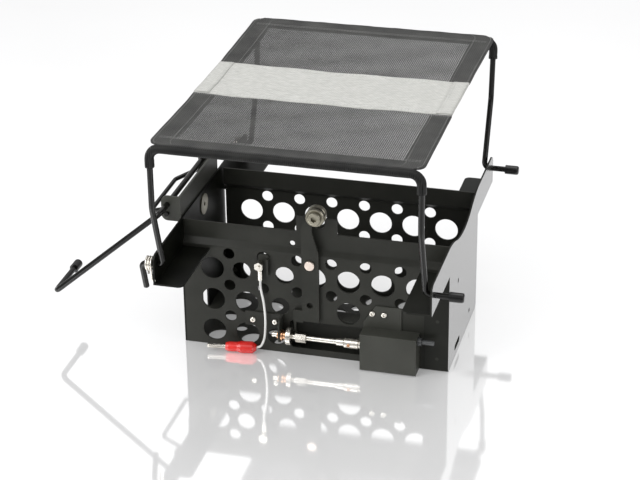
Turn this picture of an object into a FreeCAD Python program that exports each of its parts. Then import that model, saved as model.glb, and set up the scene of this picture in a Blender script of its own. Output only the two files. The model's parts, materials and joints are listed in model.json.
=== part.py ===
import FreeCAD, Part
import math
import os

Vec = FreeCAD.Vector

# Box of folded sheet, outside sizes
box_width = 298.0
box_depth = 153.0
sheet = 2.0
rail_top_z = 147.0
ledge_z = 122.0
ledge_step = 6.0
bend_radius = 4.0

# Perforation lattice shared by the front, back and floor panels
hole_pitch = 38.1
big_hole_diameter = 26.0
small_hole_diameter = 13.0
top_row_z = 114.0
moved_hole_diameter = 20.4
moved_hole_shift = 5.2

# Side walls with their wings
wing_length = 93.0
wing_floor_z = 116.4
wing_top_z = 150.0
wing_corner = 9.0
shelf_width = 32.0
shelf_corner = 6.0
wall_flange = 27.0
narrow_flange = 19.0
dip_z = 134.5
dip_half_width = 86.0
wall_hole_diameter = 5.5
slot_length = 27.0
slot_width = 7.0
slot_height_z = 11.0
slot_from_middle = -31.0
cutout_length = 19.0
cutout_from_middle = -5.5
cutout_top_z = 34.0
upper_hole_from_front = 46.0
upper_hole_z = 88.0
lower_hole_from_front = 114.0
lower_hole_z = 16.0

# Front tab, window and rail hole
tab_width = 45.0
tab_center_x = 2.0
tab_top_z = 165.0
window_left_x = -28.0
window_right_x = 66.0
window_bottom_z = 8.0
window_top_z = 41.5
notch_width = 12.0
notch_bottom_z = 152.0
rail_hole_diameter = 6.0
rail_hole_x = -25.0
rail_hole_z = 132.0

# Hoops of bent wire and their pivots in the wings
wire_diameter = 6.35
pivot_clearance = 0.08
pivot_from_panel = 84.0
pivot_z = 137.0
hoop_bend = 6.6
hoop_corner = 12.0
leg_lower = 80.0
leg_upper = 68.0
leg_kink_deg = 18.0
kink_bend = 30.0
front_lean_deg = 18.0
back_lean_deg = 24.5
foot_reach = 28.5
cap_length = 15.5
cap_wall = 2.0
cap_grip = 12.5
tail_length = 35.0

# Torsion springs on the left feet
torsion_wire = 2.4
torsion_mean_diameter = 14.0
torsion_turns = 2.5
torsion_pitch = 2.7
spring_gap = 0.4
torsion_leg = 16.0

# Sling of mesh between the hoops, with its centre strap
sling_width = 284.0
sling_thickness = 1.6
sleeve_wall = 1.5
sleeve_clearance = 0.3
strap_width = 94.0
seam_gap = 0.4

# Bracket on the left wall and the hold-down arm in it
bracket_sheet = 2.5
bracket_inset = 3.0
bracket_length = 132.5
bracket_bottom_z = 100.0
bracket_top_z = 174.0
ear_width = 22.0
ear_bottom_z = 145.0
ear_round = 7.0
arm_axis_from_wall = 15.0
arm_axis_z = 164.0
arm_reach = 169.0
arm_drop_deg = 40.7
arm_stand_off = 23.0
arm_bend = 8.0
arm_end_leg = 70.0
arm_overhang = 7.5
retainer_diameter = 11.0
retainer_length = 3.0
handle_wire = 5.0
handle_axis_from_wall = 15.5
handle_axis_z = 153.5
handle_throw = 27.5
handle_drop_deg = 19.0
handle_bend = 6.0
handle_overhang = 3.5
handle_front_lead = 11.5
handle_front_run = 5.0
handle_back_lead = 5.0
handle_back_run = 20.0
bracket_screw_diameter = 5.0
bracket_screw_head = 9.5
bracket_head_height = 2.4
bracket_nut = 8.0
bracket_nut_height = 4.0
bracket_screw_inset = 14.0
bracket_screw_z = 126.0
washer_diameter = 24.0
washer_thickness = 1.2
washer_y = -0.8
washer_z = 133.6

# Release lever on the front panel
lever_thickness = 3.0
lever_gap = 1.5
lever_pivot_x = -3.2
lever_pivot_z = 113.0
lever_left_x = -12.5
lever_right_x = 6.5
lever_bottom_z = 44.0
lever_taper_z = 127.0
lever_neck_z = 151.0
lever_neck_right_x = -0.5
lever_hole_z = 64.0
lever_hole_diameter = 7.0
pivot_pin_diameter = 8.0
pivot_head_diameter = 11.0
pivot_head_height = 2.4
roller_x = 3.7
roller_z = 171.3
roller_diameter = 21.0
roller_width = 6.4
roller_play = 0.3
roller_head_depth = 3.6
roller_nose_diameter = 15.0
roller_nose_depth = 3.9
roller_socket = 6.0
arm_past_roller = 1.2
lever_head_diameter = 18.0
roller_screw_diameter = 6.0
tongue_tip_diameter = 4.2
dog_left_x = -22.6
dog_bottom_z = 42.0
dog_top_z = 57.0
tongue_neck = 2.2

# Push rod in front of the lever's tongue
rod_axis_from_panel = 10.0
rod_axis_z = 27.0
rod_diameter = 6.0
rod_left_x = -45.5
rod_right_x = 44.0
disc_diameter = 20.0
disc_left_x = -28.6
disc_thickness = 5.5
tongue_play = 0.3
nut_across = 10.0
nut_length = 11.7
fitting_diameter = 8.6
fitting_left_x = 27.5
fitting_length = 8.0
coupling_diameter = 11.4
coupling_length = 17.0
coupling_screw_diameter = 3.6
plunger_diameter = 10.0
plunger_end_gap = 20.5
plunger_clearance = 0.05
rod_clearance = 0.06

# Guide bracket and bush on the left of the rod
guide_left_x = -78.0
guide_tab_x = -37.0
guide_bottom_z = 30.5
guide_top_z = 47.5
guide_tab_half = 7.6
bush_diameter = 9.0
bush_flange_diameter = 12.5
bush_flange = 2.2
guide_screw_xs = (-69.0, -44.0)
guide_screw_z = 38.0
small_screw_head = 6.6
small_screw_height = 2.4
small_screw_shank = 3.4

# Actuator cover, solenoid and lead connector
cover_sheet = 1.5
cover_left_x = 55.0
cover_from_flange = 5.0
cover_depth = 19.5
cover_bottom_z = 1.0
cover_top_z = 44.0
cover_flange_top_z = 71.0
cover_flange_inset = 20.0
cover_screw_x = (65.0, 78.0)
cover_screw_z = 61.5
cover_port_diameter = 14.5
solenoid_left_x = 73.0
solenoid_end_gap = 4.0
solenoid_height = 30.0
solenoid_depth = 15.4
return_wire = 1.1
return_mean_diameter = 11.9
return_turns = 6
connector_diameter = 5.2
connector_length = 18.0
connector_collar_diameter = 9.0
connector_collar = 4.0
connector_z = 38.5

# Shield behind the window
shield_sheet = 1.2
shield_depth = 22.0
shield_margin = 5.0

# Rivets through the corner flanges
rivet_head = 6.4
rivet_height = 1.6
rivet_shank = 3.9
rivet_inset = 12.6
rivet_heights_z = (15.3, 60.8, 104.0)
short_flange_top_z = 72.0
back_left_gap = 1.7

# Lanyard with its safety pin, points of the cable's route
lanyard_x = -58.5
lanyard_z = 108.0
lanyard_nut = 9.0
lanyard_nut_height = 5.0
lanyard_clip_width = 12.0
lanyard_clip_depth = 4.0
lanyard_clip_height = 27.0
crimp_diameter = 5.4
crimp_length = 11.0
eye_thickness = 2.2
eye_diameter = 8.0
cable_diameter = 2.6
cable_from_panel = (6.0, 6.0, 6.6, 7.6, 8.4, 9.0)
cable_x = (-58.5, -58.5, -55.2, -53.4, -53.2, -55.8)
cable_z = (90.0, 80.0, 64.0, 48.0, 33.0, 18.5)
cable_last_run = 5.0
pin_start_x = -64.0
pin_start_from_panel = 9.0
pin_handle_length = 34.0
pin_handle_diameter = 13.4
pin_handle_waist = 11.0
safety_pin_diameter = 5.2
safety_pin_length = 21.0
pin_turn_deg = 8.0

half_width = box_width / 2
front_y = -box_depth / 2
back_y = box_depth / 2
wire_radius = wire_diameter / 2
pivot_from_middle = back_y + pivot_from_panel
bracket_front_y = front_y + bracket_inset
arm_axis_x = -half_width - arm_axis_from_wall
handle_axis_x = -half_width - handle_axis_from_wall
foot_hole_diameter = wire_diameter + 2 * pivot_clearance
leg_x = half_width - sheet - hoop_bend - 0.2
lever_back_y = front_y - lever_gap
lever_front_y = lever_back_y - lever_thickness
rod_axis_y = front_y - rod_axis_from_panel
disc_right_x = disc_left_x + disc_thickness
nut_left_x = disc_right_x + tongue_tip_diameter + 2 * tongue_play
tongue_x = disc_right_x + tongue_play + tongue_tip_diameter / 2
coupling_left_x = fitting_left_x + fitting_length
plunger_left_x = coupling_left_x + coupling_length
cover_right_x = half_width - wall_flange - cover_from_flange
cover_flange_right_x = cover_right_x - cover_flange_inset
solenoid_length = cover_right_x - solenoid_end_gap - solenoid_left_x
plunger_length = cover_right_x - plunger_end_gap - plunger_left_x
torsion_drift = torsion_leg * torsion_pitch / (math.pi * torsion_mean_diameter)


def box(x0, x1, y0, y1, z0, z1):
    return Part.makeBox(x1 - x0, y1 - y0, z1 - z0, Vec(x0, y0, z0))


def rod(diameter, start, end):
    along = end - start
    return Part.makeCylinder(diameter / 2, along.Length, start, along)


def ring(outer, inner, start, end):
    overrun = (end - start).normalize()
    return rod(outer, start, end).cut(rod(inner, start - overrun, end + overrun))


def slab(points, thickness_along):
    wire = Part.makePolygon(points + [points[0]])
    return Part.Face(wire).extrude(thickness_along)


def hexagon(across, start, end):
    along = end - start
    radius = across / math.sqrt(3)
    corners = []
    for i in range(6):
        angle = math.radians(60 * i + 30)
        corners.append(Vec(radius * math.cos(angle), radius * math.sin(angle), 0))
    body = slab(corners, Vec(0, 0, along.Length))
    body.Placement = FreeCAD.Placement(start, FreeCAD.Rotation(Vec(0, 0, 1), along))
    return body


def fuse(shapes):
    whole = shapes[0].multiFuse(shapes[1:]) if len(shapes) > 1 else shapes[0]
    return whole.removeSplitter()


def circles_of(shape):
    return [e for e in shape.Edges if e.Curve.TypeId == "Part::GeomCircle"]


def edges_along(shape, direction, test):
    found = []
    for edge in shape.Edges:
        if edge.Curve.TypeId != "Part::GeomLine":
            continue
        if abs(abs(edge.tangentAt(edge.FirstParameter).dot(direction)) - 1) > 1e-6:
            continue
        if test(edge.CenterOfMass):
            found.append(edge)
    return found


def tangent_arc(start, heading, end):
    chord = end - start
    along = Vec(chord).normalize()
    side = heading - along * heading.dot(along)
    if side.Length < 1e-9:
        return Part.LineSegment(start, end).toShape()
    turn = math.acos(max(-1.0, min(1.0, heading.dot(along))))
    middle = (start + end) * 0.5 + side.normalize() * (chord.Length / 2 * math.tan(turn / 2))
    return Part.Arc(start, middle, end).toShape()


def rounded_path(points, radii):
    edges = []
    last = points[0]
    for i in range(1, len(points) - 1):
        into = (points[i] - points[i - 1]).normalize()
        out = (points[i + 1] - points[i]).normalize()
        turn = math.acos(max(-1.0, min(1.0, into.dot(out))))
        trim = radii[i - 1] * math.tan(turn / 2)
        start = points[i] - into * trim
        end = points[i] + out * trim
        edges.append(Part.LineSegment(last, start).toShape())
        edges.append(tangent_arc(start, into, end))
        last = end
    edges.append(Part.LineSegment(last, points[-1]).toShape())
    return edges


def swept(edges, diameter):
    path = Part.Wire(edges)
    first = edges[0]
    start = first.valueAt(first.FirstParameter)
    heading = first.tangentAt(first.FirstParameter)
    section = Part.Wire(Part.makeCircle(diameter / 2, start, heading))
    return path.makePipeShell([section], True, False)


def bent_wire(points, radii, diameter):
    return swept(rounded_path(points, radii), diameter)


def helix_point(center, axis, out, radius, pitch, turn):
    across = axis.cross(out)
    angle = 2 * math.pi * turn
    spoke = out * math.cos(angle) + across * math.sin(angle)
    place = center + spoke * radius + axis * (pitch * turn)
    heading = (across * math.cos(angle) - out * math.sin(angle)) * (2 * math.pi * radius) + axis * pitch
    return place, heading.normalize()


def coil_edges(center, axis, out, radius, pitch, turns):
    edges = []
    steps = int(round(turns * 4))
    for i in range(steps):
        start, heading = helix_point(center, axis, out, radius, pitch, i / 4)
        end, leaving = helix_point(center, axis, out, radius, pitch, (i + 1) / 4)
        chord = end - start
        both = heading + leaving
        a = both.dot(both) - 4
        b = -2 * chord.dot(both)
        c = chord.dot(chord)
        reach = (-b - math.sqrt(b * b - 4 * a * c)) / (2 * a)
        joint = (start + heading * reach + end - leaving * reach) * 0.5
        edges.append(tangent_arc(start, heading, joint))
        middle_heading = (end - leaving * reach - start - heading * reach).normalize()
        edges.append(tangent_arc(joint, middle_heading, end))
    return edges


def coil_gap(radius, pitch, wire):
    lowest = 1e9
    for i in range(40):
        a = helix_point(Vec(0, 0, 0), Vec(0, 0, 1), Vec(1, 0, 0), radius, pitch, 1.0)[0]
        b = helix_point(Vec(0, 0, 0), Vec(0, 0, 1), Vec(1, 0, 0), radius, pitch, 1.8 + i * 0.01)[0]
        lowest = min(lowest, (a - b).Length - wire)
    return lowest


def lattice(big_rows, small_rows):
    half_columns = 3
    holes = []
    for v in big_rows:
        for i in range(-half_columns, half_columns + 1):
            holes.append((i * hole_pitch, v, big_hole_diameter))
    for v in small_rows:
        for i in range(-half_columns, half_columns):
            holes.append(((i + 0.5) * hole_pitch, v, small_hole_diameter))
    return holes


def panel_rows():
    big_rows = [top_row_z - hole_pitch * (i + 0.5) for i in range(3)]
    small_rows = [top_row_z - hole_pitch * i for i in range(3)]
    return big_rows, small_rows


def joggled_sheet(outer_y, inward, left_gap):
    inner_y = outer_y + inward * sheet
    rail_y = outer_y + inward * ledge_step
    inside = half_width - sheet
    rise = ledge_step + sheet
    profile = [
        (outer_y, 0.0), (outer_y, ledge_z), (rail_y, ledge_z + ledge_step), (rail_y, rail_top_z),
        (rail_y + inward * sheet, rail_top_z), (rail_y + inward * sheet, ledge_z + rise - sheet * 1.4),
        (inner_y, ledge_z - sheet * 0.4), (inner_y, 0.0),
    ]
    body = slab([Vec(left_gap - inside, y, z) for y, z in profile], Vec(2 * inside - left_gap, 0, 0))
    bends = edges_along(body, Vec(1, 0, 0), lambda p: ledge_z - sheet < p.z < ledge_z + rise)
    return body.makeFillet(bend_radius - sheet, bends)


def punch(panel, holes, outer_y, inward):
    cutters = []
    for x, z, diameter in holes:
        start = Vec(x, outer_y - inward, z)
        cutters.append(rod(diameter, start, start + Vec(0, inward * (sheet + 2), 0)))
    return panel.cut(Part.makeCompound(cutters))


def make_front_panel():
    big_rows, small_rows = panel_rows()
    panel = joggled_sheet(front_y, 1, 0.0)
    rail_y = front_y + ledge_step
    tab = box(tab_center_x - tab_width / 2, tab_center_x + tab_width / 2, rail_y, rail_y + sheet,
              rail_top_z - 1, tab_top_z)
    tab = tab.makeFillet(2.0, edges_along(tab, Vec(0, 1, 0), lambda p: p.z > tab_top_z - 0.1))
    notch_x = roller_x + arm_past_roller
    notch = box(notch_x - notch_width / 2, notch_x + notch_width / 2, rail_y - 1, rail_y + sheet + 1,
                notch_bottom_z, tab_top_z + 1)
    notch_floor = edges_along(notch, Vec(0, 1, 0), lambda p: p.z < notch_bottom_z + 1)
    notch = notch.makeFillet(notch_width / 2 - 0.1, notch_floor)
    panel = fuse([panel, tab.cut(notch)])
    holes = []
    for x, z, diameter in lattice(big_rows, small_rows):
        left_of_mechanism = x < guide_left_x + small_hole_diameter
        if z < window_top_z and not left_of_mechanism:
            continue
        in_second_row = abs(z - big_rows[1]) < 1
        if in_second_row and (abs(x) < 1 or x > 1.5 * hole_pitch):
            continue
        beside_lanyard = abs(x - lanyard_x) < hole_pitch and diameter == big_hole_diameter
        if beside_lanyard and z > big_rows[1] + 1:
            x += math.copysign(moved_hole_shift, x - lanyard_x)
            diameter = moved_hole_diameter
        elif beside_lanyard and in_second_row and x > lanyard_x:
            diameter = moved_hole_diameter
        holes.append((x, z, diameter))
    holes.append((-hole_pitch - moved_hole_shift, big_rows[2], moved_hole_diameter))
    holes.append((lever_pivot_x, lever_pivot_z, pivot_pin_diameter))
    holes.append((lanyard_x, lanyard_z, small_screw_shank))
    for x in guide_screw_xs:
        holes.append((x, guide_screw_z, small_screw_shank))
    for x in cover_screw_x:
        holes.append((x, cover_screw_z, small_screw_shank))
    holes += rivet_places(-1)
    panel = punch(panel, holes, front_y, 1)
    panel = punch(panel, [(rail_hole_x, rail_hole_z, rail_hole_diameter)], rail_y, 1)
    window = box(window_left_x, window_right_x, front_y - 1, front_y + sheet + 1,
                 window_bottom_z, window_top_z)
    window = window.makeFillet(5.0, edges_along(window, Vec(0, 1, 0), lambda p: True))
    panel = panel.cut(window)
    return panel


def rivet_places(facing):
    places = []
    for side in (-1, 1):
        for z in rivet_heights_z:
            over_short_flange = facing > 0 and side < 0 and z > short_flange_top_z
            if not over_short_flange:
                places.append((side * (half_width - rivet_inset), z, rivet_shank))
    return places


def make_back_panel():
    panel = joggled_sheet(back_y, -1, back_left_gap)
    holes = lattice(*panel_rows()) + rivet_places(1)
    return punch(panel, holes, back_y, -1)


def make_floor_panel():
    inside = half_width - sheet
    floor = box(-inside, inside, front_y + sheet, back_y - sheet, 0, sheet)
    big_rows = [(i + 0.5) * hole_pitch for i in range(-2, 2)]
    small_rows = [i * hole_pitch for i in range(-1, 2)]
    cutters = []
    for x, y, diameter in lattice(big_rows, small_rows):
        cutters.append(rod(diameter, Vec(x, y, -1), Vec(x, y, sheet + 1)))
    return floor.cut(Part.makeCompound(cutters))


def wall_outline(side, dipped):
    x = side * half_width
    end = back_y + wing_length
    corners = [
        Vec(x, -end, wing_top_z), Vec(x, -end, wing_floor_z), Vec(x, front_y, wing_floor_z),
        Vec(x, front_y, 0), Vec(x, back_y, 0), Vec(x, back_y, wing_floor_z),
        Vec(x, end, wing_floor_z), Vec(x, end, wing_top_z),
    ]
    edges = [Part.LineSegment(a, b).toShape() for a, b in zip(corners, corners[1:])]
    if dipped:
        flat = Vec(0, 1, 0)
        knee_z = (wing_top_z + dip_z) / 2
        low = Vec(x, 0, dip_z)
        for facing in (-1, 1):
            rim = Vec(x, facing * dip_half_width, wing_top_z)
            knee = Vec(x, facing * dip_half_width / 2, knee_z)
            edges.append(Part.LineSegment(Vec(x, facing * end, wing_top_z), rim).toShape())
            edges.append(tangent_arc(rim, flat * -facing, knee))
            edges.append(tangent_arc(low, flat * facing, knee))
    else:
        edges.append(Part.LineSegment(corners[-1], corners[0]).toShape())
    outline = Part.Wire(Part.__sortEdges__(edges))
    wall = Part.Face(outline).extrude(Vec(-side * sheet, 0, 0))
    return wall.makeFillet(wing_corner, edges_along(
        wall, Vec(1, 0, 0), lambda p: abs(p.y) > end - 1 and p.z > wing_top_z - 1))


def make_side_wall(side, dipped, flange_outside):
    wall = wall_outline(side, dipped)
    outer = side * half_width
    inner = side * (half_width - sheet)
    end = back_y + wing_length
    shelf_end = side * (half_width - shelf_width)
    xs = sorted((inner, shelf_end))
    pieces = [wall]
    for facing in (-1, 1):
        near = facing * back_y + (facing * sheet if flange_outside else 0)
        ys = sorted((near, facing * end))
        shelf = box(xs[0], xs[1], ys[0], ys[1], wing_floor_z, wing_floor_z + sheet)
        shelf = shelf.makeFillet(shelf_corner, edges_along(
            shelf, Vec(0, 0, 1), lambda p: abs(p.x - shelf_end) < 0.1 and abs(p.y - facing * end) < 0.1))
        pieces.append(shelf)
        wide = flange_outside and facing < 0
        flange_end = side * (half_width - (wall_flange if wide else narrow_flange))
        flange_xs = sorted((inner, flange_end))
        if flange_outside:
            flange_ys = sorted((facing * back_y, facing * (back_y + sheet)))
            flange_xs = sorted((outer, flange_end))
            flange_top = wing_floor_z + sheet
        else:
            flange_top = wing_floor_z if facing < 0 else short_flange_top_z
            flange_ys = sorted((facing * (back_y - sheet), facing * (back_y - 2 * sheet)))
        flange = box(flange_xs[0], flange_xs[1], flange_ys[0], flange_ys[1], sheet, flange_top)
        pieces.append(flange)
    wall = fuse(pieces)
    cutters = []
    for facing in (-1, 1):
        for x, z, diameter in rivet_places(facing):
            if x * side > 0:
                cutters.append(rod(diameter, Vec(x, 0, z), Vec(x, facing * (back_y + 10), z)))
        at = Vec(side * (half_width + 5), facing * pivot_from_middle, pivot_z)
        cutters.append(rod(foot_hole_diameter, at, at - Vec(side * 12, 0, 0)))
    return wall.cut(Part.makeCompound(cutters))


def make_right_wall():
    wall = make_side_wall(1, True, True)
    start = half_width - sheet - 1
    end = half_width + 1
    cutters = []
    upper_hole = (front_y + upper_hole_from_front, upper_hole_z)
    lower_hole = (front_y + lower_hole_from_front, lower_hole_z)
    for y, z in (upper_hole, lower_hole):
        cutters.append(rod(wall_hole_diameter, Vec(start, y, z), Vec(end, y, z)))
    slot = box(start, end, slot_from_middle - slot_length / 2, slot_from_middle + slot_length / 2,
               slot_height_z - slot_width / 2, slot_height_z + slot_width / 2)
    slot = slot.makeFillet(slot_width / 2 - 0.05, edges_along(slot, Vec(1, 0, 0), lambda p: True))
    return wall.cut(Part.makeCompound(cutters + [slot]))


def bracket_screw_places():
    front_screw = (bracket_front_y + bracket_screw_inset, bracket_screw_z, 0.0)
    return [front_screw, (washer_y, washer_z, washer_thickness)]


def make_left_wall():
    wall = make_side_wall(-1, False, False)
    cutters = []
    for y, z, packing in bracket_screw_places():
        outside = Vec(-half_width - 1, y, z)
        cutters.append(rod(bracket_screw_diameter, outside, outside + Vec(sheet + 2, 0, 0)))
    opening = box(-half_width - 1, -half_width + sheet + 1, cutout_from_middle - cutout_length / 2,
                  cutout_from_middle + cutout_length / 2, sheet, cutout_top_z)
    cutters.append(opening.makeFillet(3.0, edges_along(opening, Vec(1, 0, 0), lambda p: True)))
    anchor = torsion_anchor()[0]
    for facing in (-1, 1):
        at = Vec(anchor.x, -facing * anchor.y, anchor.z)
        cutters.append(rod(torsion_wire + 2 * spring_gap, at - Vec(sheet + 1, 0, 0), at + Vec(1, 0, 0)))
    return wall.cut(Part.makeCompound(cutters))


def make_rivets():
    solids = []
    head_y = sheet
    for facing, skin in ((-1, front_y), (1, back_y)):
        for x, z, diameter in rivet_places(facing):
            outside = skin + facing * sheet if x > 0 else skin
            inside = skin - facing * (sheet if x > 0 else 2 * sheet)
            top = Vec(x, outside + facing * rivet_height, z)
            dome_radius = rivet_head * 0.75
            dome = Part.makeSphere(dome_radius, top - Vec(0, facing * dome_radius, 0))
            head = rod(rivet_head, Vec(x, outside, z), top).common(dome)
            shank = rod(diameter, Vec(x, outside, z), Vec(x, inside - facing * head_y / 2, z))
            tail = rod(rivet_head - 0.8, Vec(x, inside, z), Vec(x, inside - facing * rivet_height, z))
            solids.append(fuse([head, shank, tail]))
    return Part.makeCompound(solids)


def hoop_points(facing, lean_deg):
    pivot_y = facing * pivot_from_middle
    lean = math.radians(lean_deg)
    upper = math.radians(lean_deg - leg_kink_deg)
    kink = (pivot_y + facing * leg_lower * math.sin(lean), pivot_z + leg_lower * math.cos(lean))
    bar = (kink[0] + facing * leg_upper * math.sin(upper), kink[1] + leg_upper * math.cos(upper))
    tail = (pivot_y - facing * tail_length * math.sin(lean), pivot_z - tail_length * math.cos(lean))
    return kink, bar, tail


def tail_x():
    coil = torsion_turns * torsion_pitch + torsion_wire + 2 * torsion_drift
    return -(half_width + spring_gap + coil + spring_gap + wire_radius)


def make_hoop(facing, lean_deg):
    pivot_y = facing * pivot_from_middle
    kink, bar, tail = hoop_points(facing, lean_deg)
    points = [
        Vec(tail_x(), tail[0], tail[1]), Vec(tail_x(), pivot_y, pivot_z), Vec(-leg_x, pivot_y, pivot_z),
        Vec(-leg_x, kink[0], kink[1]), Vec(-leg_x, bar[0], bar[1]), Vec(leg_x, bar[0], bar[1]),
        Vec(leg_x, kink[0], kink[1]), Vec(leg_x, pivot_y, pivot_z),
        Vec(half_width + foot_reach, pivot_y, pivot_z),
    ]
    radii = [hoop_bend, hoop_bend, kink_bend, hoop_corner, hoop_corner, kink_bend, hoop_bend]
    return bent_wire(points, radii, wire_diameter)


def rubber_cap(tip, along):
    mouth = tip - along * cap_grip
    nose = tip + along * (cap_length - cap_grip)
    outer = wire_diameter + 2 * cap_wall
    body = rod(outer, mouth, nose)
    rim = [e for e in circles_of(body) if (e.CenterOfMass - nose).Length < 0.1]
    body = body.makeFillet(2.4, rim)
    return body.cut(rod(wire_diameter, mouth - along, tip))


def make_hoop_cap(facing):
    tip = Vec(half_width + foot_reach, facing * pivot_from_middle, pivot_z)
    return rubber_cap(tip, Vec(1, 0, 0))


def torsion_ends():
    off_wall = spring_gap + torsion_drift + torsion_wire / 2
    center = Vec(-half_width - off_wall, -pivot_from_middle, pivot_z)
    axis = Vec(-1, 0, 0)
    out = Vec(0, -1, 0)
    radius = torsion_mean_diameter / 2
    first = helix_point(center, axis, out, radius, torsion_pitch, 0)
    last = helix_point(center, axis, out, radius, torsion_pitch, torsion_turns)
    edges = coil_edges(center, axis, out, radius, torsion_pitch, torsion_turns)
    return first, edges, last


def torsion_anchor():
    first = torsion_ends()[0]
    lead = first[0] - first[1] * torsion_leg
    return Vec(-half_width + sheet, lead.y, lead.z), lead


def make_torsion_spring():
    first, edges, last = torsion_ends()
    anchor, lead = torsion_anchor()
    path = rounded_path([anchor, lead, first[0]], [torsion_wire * 0.8])
    path += edges
    path.append(Part.LineSegment(last[0], last[0] + last[1] * torsion_leg).toShape())
    print("torsion spring gap", round(coil_gap(torsion_mean_diameter / 2, torsion_pitch, torsion_wire), 2))
    return swept(path, torsion_wire)


def mirrored_to_back(shape):
    return shape.mirror(Vec(0, 0, 0), Vec(0, 1, 0))


def sling_frame():
    front = hoop_points(-1, front_lean_deg)[1]
    back = hoop_points(1, back_lean_deg)[1]
    start = Vec(0, front[0], front[1])
    end = Vec(0, back[0], back[1])
    along = (end - start).normalize()
    normal = Vec(1, 0, 0).cross(along)
    return start, end, along, normal


def sling_slab(start, end, width, low, high, normal):
    side = Vec(width / 2, 0, 0)
    corners = [start - side + normal * low, start + side + normal * low,
               end + side + normal * low, end - side + normal * low]
    return slab(corners, normal * (high - low))


def make_sling_side(bar, along, length, normal):
    sleeve_inner = wire_diameter + 2 * sleeve_clearance
    sleeve_outer = sleeve_inner + 2 * sleeve_wall
    half_sleeve = leg_x - hoop_corner - 2
    top = sleeve_outer / 2
    sheet_part = sling_slab(bar, bar + along * length, sling_width, top - sling_thickness, top, normal)
    sleeve = rod(sleeve_outer, bar - Vec(half_sleeve, 0, 0), bar + Vec(half_sleeve, 0, 0))
    body = fuse([sheet_part, sleeve])
    bore = rod(sleeve_inner, bar - Vec(half_sleeve + 1, 0, 0), bar + Vec(half_sleeve + 1, 0, 0))
    body = body.cut(bore)
    for side in (-1, 1):
        body = body.cut(corner_clearance(bar, side, sleeve_inner))
    return body


def corner_clearance(bar, side, diameter):
    near = Vec(side * (leg_x - hoop_corner - 3), bar.y, bar.z)
    far = Vec(side * (leg_x + 20), bar.y, bar.z)
    return rod(diameter + 4, near, far)


def panel_length():
    start, end, along, normal = sling_frame()
    return ((end - start).Length - strap_width) / 2 - seam_gap


def make_front_sling():
    start, end, along, normal = sling_frame()
    return make_sling_side(start, along, panel_length(), normal)


def make_back_sling():
    start, end, along, normal = sling_frame()
    return make_sling_side(end, along * -1, panel_length(), normal)


def strap_ends():
    start, end, along, normal = sling_frame()
    middle = (start + end) * 0.5
    return middle - along * (strap_width / 2), middle + along * (strap_width / 2), normal


def sleeve_top():
    return wire_radius + sleeve_clearance + sleeve_wall


def make_sling_strap():
    start, end, normal = strap_ends()
    return sling_slab(start, end, sling_width, sleeve_top() - sling_thickness, sleeve_top(), normal)


def make_arm_bracket():
    outer = -half_width - bracket_sheet
    back = bracket_front_y + bracket_length
    plate = box(outer, -half_width, bracket_front_y, back, bracket_bottom_z, bracket_top_z)
    plate = plate.makeFillet(8.0, edges_along(plate, Vec(1, 0, 0), lambda p: p.z < bracket_bottom_z + 1))
    pieces = [plate]
    for y in (bracket_front_y, back - bracket_sheet):
        ear = box(outer - ear_width + bracket_sheet, outer + 0.5, y, y + bracket_sheet,
                  ear_bottom_z, bracket_top_z)
        ear = ear.makeFillet(ear_round, edges_along(
            ear, Vec(0, 1, 0), lambda p: p.x < outer - ear_width + bracket_sheet + 0.1))
        pieces.append(ear)
    body = fuse(pieces)
    axis_start = Vec(arm_axis_x, bracket_front_y - 5, arm_axis_z)
    handle_start = Vec(handle_axis_x, bracket_front_y - 5, handle_axis_z)
    cutters = [
        rod(foot_hole_diameter, axis_start, axis_start + Vec(0, bracket_length + 10, 0)),
        rod(handle_wire + 2 * pivot_clearance, handle_start, handle_start + Vec(0, bracket_length + 10, 0)),
    ]
    for y, z, packing in bracket_screw_places():
        cutters.append(rod(bracket_screw_diameter, Vec(outer - 1, y, z), Vec(-half_width + 1, y, z)))
    return body.cut(Part.makeCompound(cutters))


def make_bracket_screws():
    outer = -half_width - bracket_sheet
    solids = []
    for y, z, packing in bracket_screw_places():
        seat = -half_width + sheet
        nut = hexagon(bracket_nut, Vec(outer - bracket_nut_height, y, z), Vec(outer, y, z))
        shank = rod(bracket_screw_diameter, Vec(outer - bracket_nut_height, y, z), Vec(seat, y, z))
        pieces = [nut, shank]
        if not packing:
            head = rod(bracket_screw_head, Vec(seat, y, z), Vec(seat + bracket_head_height, y, z))
            rim = [e for e in head.Edges if e.CenterOfMass.x > seat + bracket_head_height / 2]
            pieces.append(head.makeFillet(bracket_head_height * 0.65, rim))
        solids.append(fuse(pieces))
    return Part.makeCompound(solids)


def make_bracket_washer():
    inner = -half_width + sheet
    at = Vec(inner, washer_y, washer_z)
    return ring(washer_diameter, bracket_screw_diameter, at, at + Vec(washer_thickness, 0, 0))


def arm_direction():
    drop = math.radians(arm_drop_deg)
    return Vec(-math.cos(drop), 0, -math.sin(drop))


def arm_end_point():
    arm_y = bracket_front_y - arm_stand_off
    return Vec(arm_axis_x, arm_y, arm_axis_z) + arm_direction() * arm_reach


def make_hold_down_arm():
    axis = Vec(arm_axis_x, 0, arm_axis_z)
    end = arm_end_point()
    rear = bracket_front_y + bracket_length + arm_overhang
    points = [end + Vec(0, arm_end_leg, 0), end, axis + Vec(0, end.y, 0), axis + Vec(0, rear, 0)]
    return bent_wire(points, [arm_bend, arm_bend], wire_diameter)


def make_arm_retainer():
    start = Vec(arm_axis_x, bracket_front_y + bracket_length + spring_gap, arm_axis_z)
    body = ring(retainer_diameter, wire_diameter, start, start + Vec(0, retainer_length, 0))
    rims = [e for e in circles_of(body) if e.Curve.Radius > wire_diameter * 0.6]
    return body.makeFillet(0.8, rims)


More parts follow.
